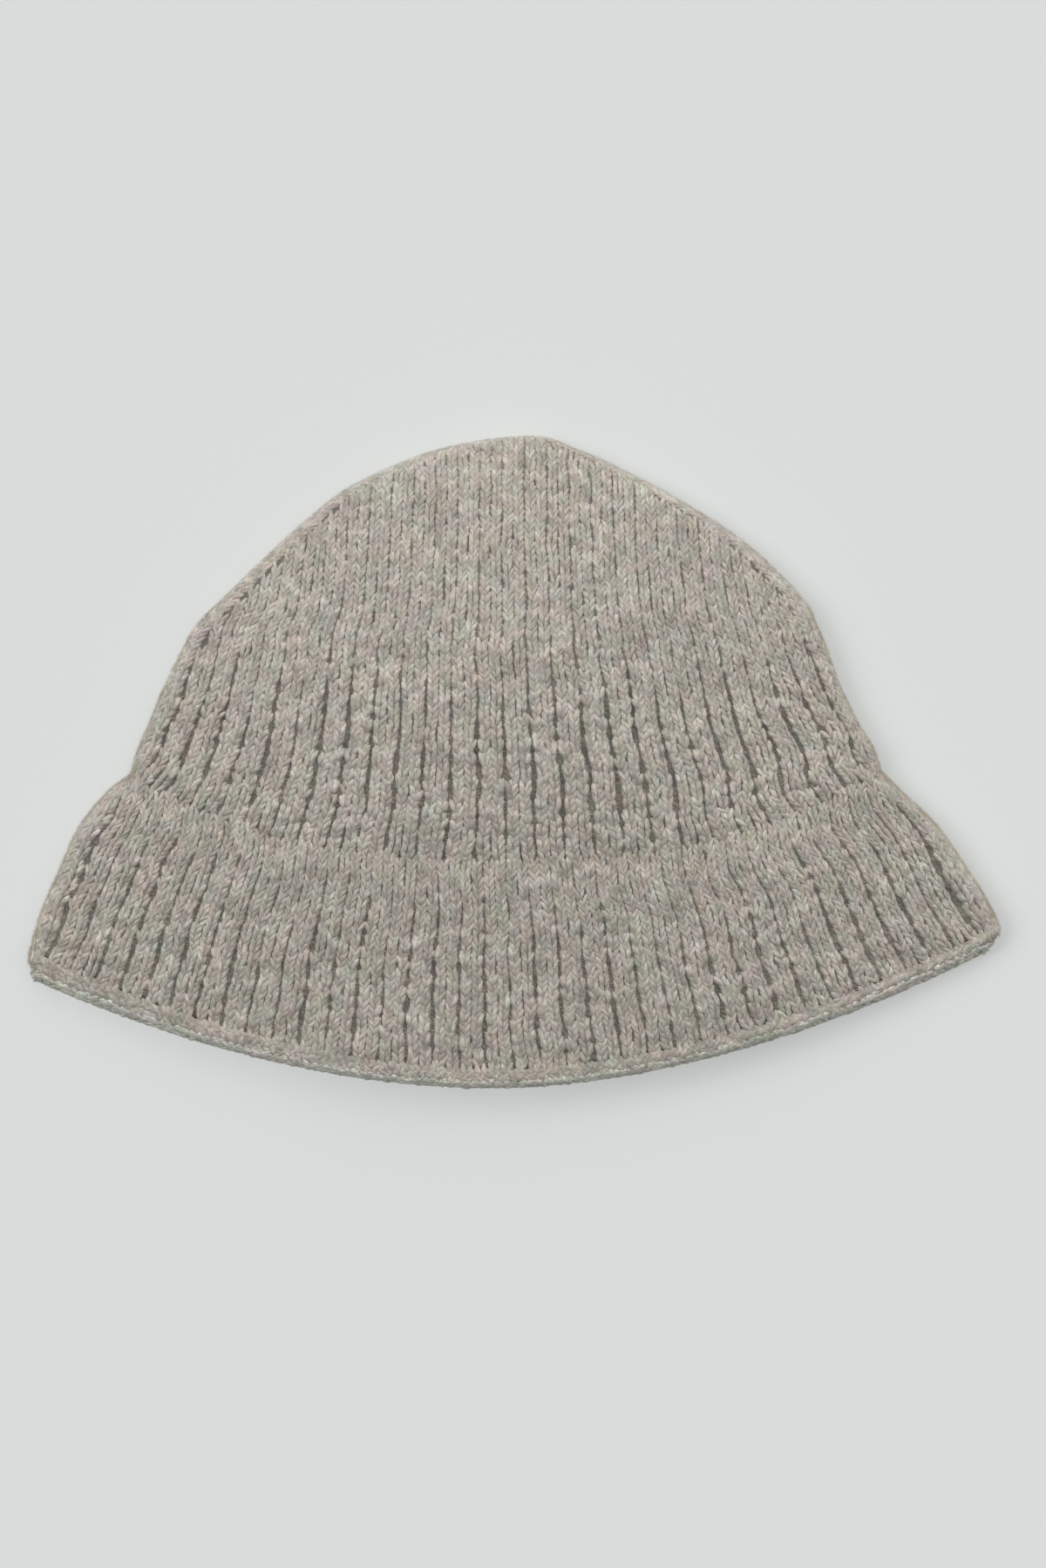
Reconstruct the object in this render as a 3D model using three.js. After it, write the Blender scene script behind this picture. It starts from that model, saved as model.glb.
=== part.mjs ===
// Rib-knit wool bucket hat, lying flat on its back layer.
// Millimetres, +Z up. +X runs along the brim, +Y runs from the hem to the top of the crown.
// The hat is one flattened tube of knit: a front layer that arches a little over a back layer
// that lies on the table, joined by a round fold at each side. The tube is closed at the top of
// the crown and open at the hem, where the head goes in.
import * as THREE from "three";

// Driving dimensions
const KNIT_WALL = 4.0; // thickness of the rib knit, from the crest of a rib to the inside
const SEAM_GAP = 0.4; // clearance where two pieces are linked together, along Y
const CROWN_RIBS = 56; // ribs around the crown, half of them on each layer
const BRIM_RIBS = 76; // ribs around the brim, which is knitted wider and linked to the crown
const RIB_POINTS = [0, 0.2, 0.8]; // the furrow, then the two sides of the crest, as shares of a rib
const ARCH_POWER = 1.5; // power of the front layer's arch, which leaves the folds smoothly
const DENT_FADE = 4; // power with which the dents fade out towards the folds
const OUTLINE_STEP = 0.25; // rows of a table each way over which a side outline's direction is taken
const CROWN_BANDS = 13; // steps of the crown's outside, from the seam to the top
const CROWN_LINING_END = 10.6; // row of CROWN_COURSES where the inside of the crown is closed
const CROWN_LINING_BANDS = 10;
const BRIM_BANDS = 6;
const TOP_ROUNDING = 0.6; // how far the closed top bulges out
const HEM_SEGMENTS = 144; // points around the hem's trim
const HEM_ROUNDING = 0.9; // how far the hem's trim is rounded on its two free edges
const FRONT_HEM_LIFT = 2.0; // how far the front layer's hem has slipped up from the back layer's

// Courses of knit across the crown, from the seam with the brim up to the top.
// leftX, leftY and rightX, rightY are where a course turns over the side folds, midY is where it
// crosses the middle, height is the top of the front layer there, fold is the height of the side
// folds, groove is how deep the furrows between the ribs are and curve is the power of the course's
// curve, which is flatter in the middle the higher it is.
const COLUMNS = ["leftX", "leftY", "rightX", "rightY", "midY", "height", "fold", "groove", "curve"];
const CROWN_COURSES = [
  [-133.3, -4.0, 129.7, -2.8, -33.6, 25.5, 10.6, 0.3, 2.6],
  [-130.9, 4.6, 127.5, 4.6, -21.4, 28.0, 10.8, 1.4, 2.6],
  [-126.9, 13.8, 122.0, 13.8, -9.2, 29.5, 11.0, 1.8, 2.6],
  [-122.0, 26.0, 115.6, 27.0, 9.2, 30.5, 11.0, 1.6, 2.6],
  [-114.4, 41.3, 110.4, 41.3, 30.6, 30.0, 11.0, 1.0, 2.6],
  [-109.5, 48.9, 106.9, 48.9, 41.3, 28.8, 11.0, 0.7, 2.6],
  [-102.1, 56.6, 103.1, 56.6, 52.0, 27.0, 10.8, 0.4, 2.6],
  [-86.2, 71.9, 88.4, 71.9, 70.3, 23.5, 10.6, 0.15, 2.6],
  [-72.8, 84.1, 72.2, 84.1, 84.1, 20.5, 10.4, 0.05, 2.6],
  [-57.2, 96.3, 51.7, 96.3, 96.9, 17.0, 10.2, 0, 2.6],
  [-37.6, 105.5, 33.3, 105.5, 106.2, 13.5, 9.6, 0, 2.6],
  [-23.4, 110.2, 21.8, 110.2, 111.0, 11.0, 8.6, 0, 2.6],
  [-8.0, 112.9, 15.0, 113.0, 113.5, 7.5, 6.0, 0, 2.6],
  [1.5, 113.7, 7.5, 113.7, 113.9, 5.0, 4.4, 0, 2.6],
];

// Courses across the brim, from the seam down to the hem, with the same columns.
const BRIM_COURSES = [
  [-133.3, -4.0, 129.7, -2.8, -33.6, 25.5, 10.6, 0.3, 2.6],
  [-141.9, -10.7, 137.6, -10.7, -44.3, 24.8, 10.4, 0.9, 2.5],
  [-151.7, -22.9, 148.9, -21.4, -58.1, 22.8, 10.2, 1.5, 2.35],
  [-159.0, -39.1, 158.7, -35.2, -74.9, 20.8, 10.0, 1.8, 2.15],
  [-165.1, -53.5, 166.4, -47.4, -91.7, 19.6, 10.0, 1.8, 1.95],
  [-168.8, -67.3, 171.2, -57.8, -107.9, 19.0, 10.0, 1.1, 1.85],
  [-169.1, -75.5, 169.4, -65.1, -114.1, 18.6, 9.6, 0, 1.85],
];
const HEM_TOP = 5; // row of BRIM_COURSES where the brim ends and the hem's trim begins
const HEM_EDGE = 6; // row of BRIM_COURSES along the free edge

// Soft dents and swells of the front layer: place, reach along X and Y, and depth.
const DENT_COLUMNS = ["x", "y", "reachX", "reachY", "depth"];
const DENTS = [
  [-11, 104, 6, 4, 1.4], // dimple beside the top
  [6, 108, 7, 4, -0.8], // small nub at the top
  [-48, 40, 26, 30, 1.2], // slack on the left of the crown
  [58, 22, 24, 34, 1.0], // slack on the right of the crown
  [-92, -88, 20, 22, 1.1], // waves of the loose hem
  [-38, -100, 18, 20, -1.0],
  [24, -104, 20, 20, 0.9],
  [84, -92, 20, 22, -0.9],
];

const WOOL_ROUGHNESS = 0.95;
const COLOURS = { crown: "#a39c91", brim: "#9b958a", hem_edge: "#938f85" };

const named = (columns, values) => Object.fromEntries(columns.map((name, i) => [name, values[i]]));
const dents = DENTS.map((values) => named(DENT_COLUMNS, values));

// A smooth curve through four numbers, from the second at share 0 to the third at share 1.
function smooth(before, from, to, after, share) {
  const leave = (to - before) / 2;
  const arrive = (after - from) / 2;
  const square = share * share;
  const cube = square * share;
  return (
    from * (2 * cube - 3 * square + 1) +
    leave * (cube - 2 * square + share) +
    to * (3 * square - 2 * cube) +
    arrive * (cube - square)
  );
}

// The course at a place between two rows of a table.
function courseAt(table, place) {
  const last = table.length - 1;
  const row = Math.min(Math.floor(place), last - 1);
  const share = place - row;
  const pick = (i) => table[THREE.MathUtils.clamp(i, 0, last)];
  const values = COLUMNS.map((_, column) =>
    smooth(pick(row - 1)[column], pick(row)[column], pick(row + 1)[column], pick(row + 2)[column], share),
  );
  return named(COLUMNS, values);
}

// How much longer a fold's turn is along X than square to the side outline.
function foldStretch(table, place, side, course) {
  const last = table.length - 1;
  const above = courseAt(table, Math.min(place + OUTLINE_STEP, last));
  const below = courseAt(table, Math.max(place - OUTLINE_STEP, 0));
  const along = new THREE.Vector2(
    above[`${side}X`] - below[`${side}X`],
    above[`${side}Y`] - below[`${side}Y`],
  ).normalize();
  const half = (course.rightX - course.leftX) / 2;
  const dip = course.midY - (course.leftY + course.rightY) / 2;
  const slope = ((side === "left" ? 1 : -1) * dip * course.curve) / half;
  return 1 / Math.abs(along.y - slope * along.x);
}

// A course with what its section needs: the half width, the two folds' turns along X, and how far
// the front layer lies up the hat from the back layer.
function sectionAt(table, place) {
  const course = courseAt(table, place);
  const half = (course.rightX - course.leftX) / 2;
  const stretch = {
    left: foldStretch(table, place, "left", course),
    right: foldStretch(table, place, "right", course),
  };
  const turn = {
    left: Math.min((course.fold / 2) * stretch.left, half),
    right: Math.min((course.fold / 2) * stretch.right, half),
  };
  const frontLift = table === BRIM_COURSES ? FRONT_HEM_LIFT * (place / HEM_EDGE) ** 2 : 0;
  return { ...course, groove: Math.max(0, course.groove), half, stretch, turn, frontLift };
}

// How far the front layer rises above the folds at a place across the section, -1 to 1.
const archAt = (section, across) => (section.height - section.fold) * (1 - across * across) ** ARCH_POWER;

// How far the dents push the front layer down at a place.
function dentAt(x, y) {
  return dents.reduce((sum, dent) => {
    const far = ((x - dent.x) / dent.reachX) ** 2 + ((y - dent.y) / dent.reachY) ** 2;
    return sum + dent.depth * Math.exp(-far);
  }, 0);
}

// A point of the section. around runs from the left fold at 0, over the front layer to the right
// fold at 0.5, and back under the back layer. inset is how far inside the rib crests it lies.
function sectionPoint(section, around, inset) {
  const front = around <= 0.5;
  const share = front ? around * 2 : 2 - around * 2;
  const radius = section.fold / 2;
  const quarter = (turn) => (Math.PI / 2) * Math.sqrt((turn * turn + radius * radius) / 2);
  const leftArc = quarter(section.turn.left);
  const rightArc = quarter(section.turn.right);
  const straight = 2 * section.half - section.turn.left - section.turn.right;
  const travel = share * (leftArc + straight + rightArc);
  const leftStart = -section.half + section.turn.left;

  let x = leftStart + travel - leftArc;
  let angle = Math.PI / 2;
  if (travel < leftArc) {
    angle = ((travel / leftArc) * Math.PI) / 2;
    const turn = section.turn.left - inset * section.stretch.left;
    x = leftStart - turn * Math.cos(angle);
  } else if (travel > leftArc + straight) {
    angle = (((leftArc + straight + rightArc - travel) / rightArc) * Math.PI) / 2;
    const turn = section.turn.right - inset * section.stretch.right;
    x = section.half - section.turn.right + turn * Math.cos(angle);
  }
  const rise = (radius - inset) * Math.sin(angle);

  const across = THREE.MathUtils.clamp(x / section.half, -1, 1);
  const ends = THREE.MathUtils.lerp(section.leftY, section.rightY, (across + 1) / 2);
  const dip = section.midY - (section.leftY + section.rightY) / 2;
  const y = ends + dip * (1 - Math.abs(across) ** section.curve);
  const planX = (section.leftX + section.rightX) / 2 + x;
  if (!front) return [planX, y, radius - rise];
  const dent = dentAt(planX, y) * (1 - Math.abs(across) ** DENT_FADE);
  const lift = section.frontLift * Math.sin(angle);
  return [planX, y + lift, radius + rise + archAt(section, across) - dent];
}

// Three points for each rib on the outside: the furrow and the two sides of the crest.
function ribbedRing(table, place, ribs, shiftY = 0) {
  const section = sectionAt(table, place);
  return Array.from({ length: ribs * RIB_POINTS.length }, (_, i) => {
    const rib = Math.floor(i / RIB_POINTS.length);
    const share = RIB_POINTS[i % RIB_POINTS.length];
    const inset = share === 0 ? section.groove : 0;
    const [x, y, z] = sectionPoint(section, (rib + share) / ribs, inset);
    return [x, y + shiftY, z];
  });
}

// A smooth ring, with one point in the middle of each segment.
function plainRing(table, place, segments, inset, shiftY = 0) {
  const section = sectionAt(table, place);
  return Array.from({ length: segments }, (_, i) => {
    const [x, y, z] = sectionPoint(section, (i + 0.5) / segments, inset);
    return [x, y + shiftY, z];
  });
}

// Collects the rings and faces of one closed body. Rings are added from the hem towards the top.
class KnitBody {
  constructor() {
    this.points = [];
    this.faces = [];
  }

  add(ring) {
    const first = this.points.length;
    this.points.push(...ring);
    return ring.map((_, i) => first + i);
  }

  face(a, b, c, outward) {
    this.faces.push(...(outward ? [a, b, c] : [a, c, b]));
  }

  // Skins a list of rings, of equal numbers of points.
  skin(rings, outward) {
    for (let r = 0; r + 1 < rings.length; r++) {
      const [low, high] = [rings[r], rings[r + 1]];
      low.forEach((a, i) => {
        const next = (i + 1) % low.length;
        this.face(a, low[next], high[next], outward);
        this.face(a, high[next], high[i], outward);
      });
    }
  }

  // Closes the last ring with a fan to one point, bulge beyond the ring's middle.
  close(ring, bulge, outward) {
    const middle = [0, 1, 2].map((axis) => {
      const values = ring.map((i) => this.points[i][axis]);
      return (Math.min(...values) + Math.max(...values)) / 2;
    });
    const top = Math.max(...ring.map((i) => this.points[i][1]));
    const [tip] = this.add([[middle[0], top + bulge, middle[2]]]);
    ring.forEach((a, i) => this.face(a, ring[(i + 1) % ring.length], tip, outward));
  }

  // Joins an outer ring to an inner ring at an open end. Each inner point takes an equal share
  // of the outer points, and towardsTop says which way the end faces.
  rim(outer, inner, towardsTop) {
    const share = outer.length / inner.length;
    inner.forEach((b, k) => {
      for (let i = 0; i < share; i++) {
        const a = k * share + i;
        this.face(outer[a], outer[(a + 1) % outer.length], b, towardsTop);
      }
      const joint = ((k + 1) * share) % outer.length;
      this.face(outer[joint], inner[(k + 1) % inner.length], b, towardsTop);
    });
  }

  mesh(name) {
    const geometry = new THREE.BufferGeometry();
    geometry.setAttribute("position", new THREE.Float32BufferAttribute(this.points.flat(), 3));
    geometry.setIndex(this.faces);
    geometry.computeVertexNormals();
    const look = { color: COLOURS[name], roughness: WOOL_ROUGHNESS, metalness: 0 };
    const material = new THREE.MeshStandardMaterial(look);
    const mesh = new THREE.Mesh(geometry, material);
    mesh.name = name;
    return mesh;
  }
}

// Evenly spaced numbers, both ends included.
const steps = (count, from, to) =>
  Array.from({ length: count + 1 }, (_, i) => from + ((to - from) * i) / count);

function crown() {
  const body = new KnitBody();
  const shift = (place) => (place === 0 ? SEAM_GAP / 2 : 0);
  const last = CROWN_COURSES.length - 1;
  const outer = steps(CROWN_BANDS, 0, last).map((place) =>
    body.add(ribbedRing(CROWN_COURSES, place, CROWN_RIBS, shift(place))),
  );
  const inner = steps(CROWN_LINING_BANDS, 0, CROWN_LINING_END).map((place) =>
    body.add(plainRing(CROWN_COURSES, place, CROWN_RIBS, KNIT_WALL, shift(place))),
  );
  body.skin(outer, true);
  body.skin(inner, false);
  body.close(outer.at(-1), TOP_ROUNDING, true);
  body.close(inner.at(-1), TOP_ROUNDING, false);
  body.rim(outer[0], inner[0], false);
  return body.mesh("crown");
}

function brim() {
  const body = new KnitBody();
  const places = steps(BRIM_BANDS, HEM_TOP, 0);
  const shift = (place) => ({ 0: -SEAM_GAP / 2, [HEM_TOP]: SEAM_GAP / 2 })[place] ?? 0;
  const outer = places.map((place) => body.add(ribbedRing(BRIM_COURSES, place, BRIM_RIBS, shift(place))));
  const inner = places.map((place) =>
    body.add(plainRing(BRIM_COURSES, place, BRIM_RIBS, KNIT_WALL, shift(place))),
  );
  body.skin(outer, true);
  body.skin(inner, false);
  body.rim(outer[0], inner[0], false);
  body.rim(outer.at(-1), inner.at(-1), true);
  return body.mesh("brim");
}

// The trim along the hem, a smooth band whose free edge is rounded.
function hemEdge() {
  const body = new KnitBody();
  const middle = (HEM_TOP + HEM_EDGE) / 2;
  const ring = (place, inset, shiftY) =>
    body.add(plainRing(BRIM_COURSES, place, HEM_SEGMENTS, inset, shiftY));
  const outer = [ring(HEM_EDGE, HEM_ROUNDING, 0), ring(middle, 0, 0), ring(HEM_TOP, 0, -SEAM_GAP / 2)];
  const inner = [
    ring(HEM_EDGE, KNIT_WALL - HEM_ROUNDING, 0),
    ring(middle, KNIT_WALL, 0),
    ring(HEM_TOP, KNIT_WALL, -SEAM_GAP / 2),
  ];
  body.skin(outer, true);
  body.skin(inner, false);
  body.rim(outer[0], inner[0], false);
  body.rim(outer.at(-1), inner.at(-1), true);
  return body.mesh("hem_edge");
}

const hat = new THREE.Group();
hat.add(crown(), brim(), hemEdge());

// The origin is the middle of the space that the hat fills, on the surface that it lies on.
const space = new THREE.Box3().setFromObject(hat, true);
const centre = space.getCenter(new THREE.Vector3());
hat.children.forEach((piece) => piece.position.set(-centre.x, -centre.y, -space.min.z));

export default hat;
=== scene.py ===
"""Rib-knit wool bucket hat, lying flat on its back layer.

The hat is a flattened tube of knit. Its walls are grid primitives wrapped round the lying form.
On them lie the stitches: one leg of a stitch is modelled and copied along every wale, as
a column of knit is called, two legs to a stitch. Lengths are millimetres, and become metres where
a mesh is made.
"""
import math

import bpy
import numpy as np
from bpy.props import FloatProperty, FloatVectorProperty, PointerProperty
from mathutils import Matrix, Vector


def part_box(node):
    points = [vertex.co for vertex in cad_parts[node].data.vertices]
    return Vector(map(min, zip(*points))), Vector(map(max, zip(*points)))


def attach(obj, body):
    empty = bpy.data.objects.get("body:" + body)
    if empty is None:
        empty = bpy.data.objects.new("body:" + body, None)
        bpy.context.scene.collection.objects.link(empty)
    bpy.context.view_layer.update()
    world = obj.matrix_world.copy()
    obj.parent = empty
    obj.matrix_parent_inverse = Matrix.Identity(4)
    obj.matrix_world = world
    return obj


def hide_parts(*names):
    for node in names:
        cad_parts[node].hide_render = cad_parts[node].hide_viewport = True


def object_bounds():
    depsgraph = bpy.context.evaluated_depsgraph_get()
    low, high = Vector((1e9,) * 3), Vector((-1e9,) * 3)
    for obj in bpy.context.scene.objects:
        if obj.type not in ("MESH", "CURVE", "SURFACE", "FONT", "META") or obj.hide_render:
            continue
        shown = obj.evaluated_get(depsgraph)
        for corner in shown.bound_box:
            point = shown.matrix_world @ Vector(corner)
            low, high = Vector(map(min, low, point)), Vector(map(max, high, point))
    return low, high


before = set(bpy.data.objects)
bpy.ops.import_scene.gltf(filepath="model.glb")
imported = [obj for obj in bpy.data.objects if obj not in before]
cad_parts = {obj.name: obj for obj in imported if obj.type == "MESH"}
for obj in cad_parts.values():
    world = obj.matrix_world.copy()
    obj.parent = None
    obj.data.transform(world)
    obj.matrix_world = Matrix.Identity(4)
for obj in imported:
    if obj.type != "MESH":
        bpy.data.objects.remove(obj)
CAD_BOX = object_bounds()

bl_info = {
    "name": "Rib-knit bucket hat",
    "version": (1, 0, 0),
    "blender": (4, 5, 0),
    "location": "View3D > Sidebar > Knit hat",
    "description": "Knits a ribbed wool bucket hat that lies flat, with its stage",
    "category": "Object",
}

MM = 0.001
QUARTER = math.pi / 2

# Courses of knit, a row each: where a course turns over the side folds, where it crosses the
# middle, the height of the front layer there, the height of the side folds and the power of its
# curve, flat in the middle where high. Then its ribs: where the middle furrow crosses it, the
# width of a rib there, and the least width of the rib that follows a side fold.
COURSE_COLUMNS = ("left_x", "left_y", "right_x", "right_y", "mid_y", "height", "fold",
                  "curve", "rib_x", "pitch", "edge")
CROWN_COURSES = (
    (-133.3, -4.0, 129.7, -2.8, -33.6, 25.5, 10.6, 2.6, -1.8, 10.5, 3.5),
    (-130.9, 4.6, 127.5, 4.6, -21.4, 28.0, 10.8, 2.6, -1.8, 10.0, 7.0),
    (-126.9, 13.8, 122.0, 13.8, -9.2, 29.5, 11.0, 2.6, -1.4, 9.7, 8.0),
    (-122.0, 26.0, 115.6, 27.0, 9.2, 30.5, 11.0, 2.6, -2.4, 9.15, 8.4),
    (-114.4, 41.3, 110.4, 41.3, 30.6, 30.0, 11.0, 2.6, -3.0, 8.7, 8.6),
    (-109.5, 48.9, 106.9, 48.9, 41.3, 28.8, 11.0, 2.6, -3.4, 8.5, 8.6),
    (-102.1, 56.6, 103.1, 56.6, 52.0, 27.0, 10.8, 2.6, -3.0, 8.15, 8.6),
    (-86.2, 71.9, 88.4, 71.9, 70.3, 23.5, 10.6, 2.6, -3.0, 7.9, 8.6),
    (-72.8, 84.1, 72.2, 84.1, 84.1, 20.5, 10.4, 2.6, -3.0, 7.8, 8.4),
    (-57.2, 96.3, 51.7, 96.3, 96.9, 17.0, 10.2, 2.6, -3.0, 7.7, 8.0),
    (-37.6, 105.5, 33.3, 105.5, 106.2, 13.5, 9.6, 2.6, -3.0, 7.7, 7.4),
    (-23.4, 110.2, 21.8, 110.2, 111.0, 11.0, 8.6, 2.6, -3.0, 7.7, 6.4),
    (-8.0, 112.9, 15.0, 113.0, 113.5, 7.5, 6.0, 2.6, -3.0, 7.7, 4.6),
    (1.5, 113.7, 7.5, 113.7, 113.9, 5.0, 4.4, 2.6, -3.0, 7.7, 3.0),
)
BRIM_COURSES = (
    (-133.3, -4.0, 129.7, -2.8, -33.6, 25.5, 10.6, 2.6, -1.8, 7.7, 3.5),
    (-141.9, -10.7, 137.6, -10.7, -44.3, 24.8, 10.4, 2.5, -1.5, 7.84, 6.5),
    (-151.7, -22.9, 148.9, -21.4, -58.1, 22.8, 10.2, 2.35, -0.65, 8.31, 7.5),
    (-159.0, -39.1, 158.7, -35.2, -74.9, 20.8, 10.0, 2.15, -0.6, 8.74, 8.0),
    (-165.1, -53.5, 166.4, -47.4, -91.7, 19.6, 10.0, 1.95, 0.14, 9.10, 8.0),
    (-168.8, -67.3, 171.2, -57.8, -107.9, 19.0, 10.0, 1.85, 0.7, 9.46, 8.0),
    (-169.1, -75.5, 169.4, -65.1, -114.1, 18.6, 9.6, 1.85, 0.9, 9.60, 8.0),
)
HEM_TOP = 5.0  # row of BRIM_COURSES where the ribs end and the bound hem begins
HEM_EDGE = 6.0  # row of BRIM_COURSES along the free edge
FRONT_HEM_LIFT = 2.0  # how far the front layer's hem has slipped up from the back layer's

# Soft dents and swells of the front layer
DENT_COLUMNS = ("x", "y", "reach_x", "reach_y", "depth")
DENTS = (
    (-11, 104, 6, 4, 1.4),
    (6, 108, 7, 4, -0.8),
    (-48, 40, 26, 30, 1.2),
    (58, 22, 24, 34, 1.0),
    (-92, -88, 20, 22, 1.1),
    (-38, -100, 18, 20, -1.0),
    (24, -104, 20, 20, 0.9),
    (84, -92, 20, 22, -0.9),
)

# Slight unevenness of the front layer: waves of a length, in a direction, a phase and a depth
WAVE_COLUMNS = ("length", "direction", "phase", "depth")
WAVES = (
    (31, 0.4, 0.0, 0.22),
    (23, 1.9, 2.1, 0.20),
    (17, 2.7, 4.4, 0.16),
    (13, 1.1, 1.3, 0.12),
)

# The form of the lying tube, as in the solids
KNIT_WALL = 4.0
ARCH_POWER = 1.5
DENT_FADE = 4
OUTLINE_STEP = 0.25  # rows each way over which a side outline's direction is taken
CROWN_LINING_END = 10.6  # row of CROWN_COURSES where the inside of the crown is closed
TOP_ROUNDING = 0.6

# Ribs, each of two wales, on each layer
CROWN_RIBS = 28
BRIM_RIBS = 38
RIB_WALES = ((0.25, 0.25), (0.75, 0.25))  # middle and half width, as parts of a rib
EDGE_WALES = ((0.4, 0.2), (0.8, 0.2))  # of the rib beside a side fold, from the fold inwards
FOLD_WALE = (0.0, 0.2)
NOMINAL_WALE = 4.3  # width of the wale that the modelled leg of a stitch fits


def named_rows(columns, rows):
    """A table as a dictionary of its columns."""
    return dict(zip(columns, np.array(rows, float).T))


def smoothstep(value):
    value = np.clip(value, 0.0, 1.0)
    return value * value * (3.0 - 2.0 * value)


def unit(vectors):
    length = np.linalg.norm(vectors, axis=-1, keepdims=True)
    return vectors / np.maximum(length, 1e-9)


DENT = named_rows(DENT_COLUMNS, DENTS)
WAVE = named_rows(WAVE_COLUMNS, WAVES)
BRIM_TABLE = named_rows(COURSE_COLUMNS, BRIM_COURSES)
CAD_SHIFT = np.array([
    (CAD_BOX[0][0] + CAD_BOX[1][0]) / 2 / MM
    - (BRIM_TABLE["left_x"].min() + BRIM_TABLE["right_x"].max()) / 2,
    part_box("crown")[1].y / MM - CROWN_COURSES[-1][4] - TOP_ROUNDING,
    0.0,
])


def lengths_along(path):
    """Length of a path from its start to each of its points."""
    return np.concatenate([[0], np.cumsum(np.linalg.norm(np.diff(path, axis=0), axis=1))])


def dents_at(x, y):
    """How far the dents and the slight waves push the front layer down."""
    x, y = x[:, None], y[:, None]
    far = ((x - DENT["x"]) / DENT["reach_x"]) ** 2 + ((y - DENT["y"]) / DENT["reach_y"]) ** 2
    run = x * np.cos(WAVE["direction"]) + y * np.sin(WAVE["direction"])
    swell = WAVE["depth"] * np.sin(2 * math.pi * run / WAVE["length"] + WAVE["phase"])
    return (DENT["depth"] * np.exp(-far)).sum(axis=1) + swell.sum(axis=1)


class Sway:
    """A smooth random wandering along each of a number of lines, about -1 to 1."""

    def __init__(self, count, slow, fast, seed):
        rng = np.random.default_rng(seed)
        self.pace = rng.uniform(slow, fast, (count, 4))
        self.phase = rng.uniform(0, 2 * math.pi, (count, 4))

    def at(self, index, place):
        waves = np.sin(self.pace[index] * place[:, None] + self.phase[index])
        return waves.sum(axis=1) / 2


# Differences between the furrows, as factors of how far they are open
FURROW_STRENGTH = (0.5, 1.35)  # of one furrow beside the others
FURROW_RIPPLE = 0.7  # along a furrow
RIPPLE_PACE = (5.0, 30.0)  # slowest and fastest wave of the ripple, in radians a row
WIDEST_FURROW = 1.2


class Furrows:
    """How far each furrow between two ribs is open along its length, from 0 to 1."""

    def __init__(self, count, profile, spread, seed):
        rng = np.random.default_rng(seed)
        self.count = count
        self.places, self.openness = np.array(profile).T
        self.widest = self.places[np.argmax(self.openness)]
        self.shift = rng.normal(0, spread, (count + 1, 2))
        self.strength = rng.uniform(*FURROW_STRENGTH, count + 1)
        self.ripple = Sway(count + 1, *RIPPLE_PACE, seed + 1)

    def at(self, index, place):
        """Openness of the furrow before rib number index. The side folds have none."""
        toward = smoothstep((place - self.widest) / 2 + 0.5)
        moved = place + self.shift[index, 0] * (1 - toward) + self.shift[index, 1] * toward
        opened = np.interp(moved, self.places, self.openness) * self.strength[index]
        opened = opened * (1 + FURROW_RIPPLE * self.ripple.at(index, place))
        return np.where((index == 0) | (index == self.count), 0,
                        np.clip(opened, 0, WIDEST_FURROW))


# Valley along the seam that links crown and brim, and the end of the ribs in the hem
SEAM_DEPTH = 0.5
SEAM_REACH = 0.35  # rows
HEM_SINK = 1.8
HEM_SINK_REACH = 1.2  # rows
DEEPEST = 2.1  # limit of a valley and a furrow together, which keeps the stitches in the wall

RIB_SWAY_PACE = (0.8, 5.0)  # slowest and fastest wave of the ribs' sides, in radians a row
EDGE_ROOM = 0.08  # part of a rib by which an inner rib keeps off the ribs at the side folds


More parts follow.
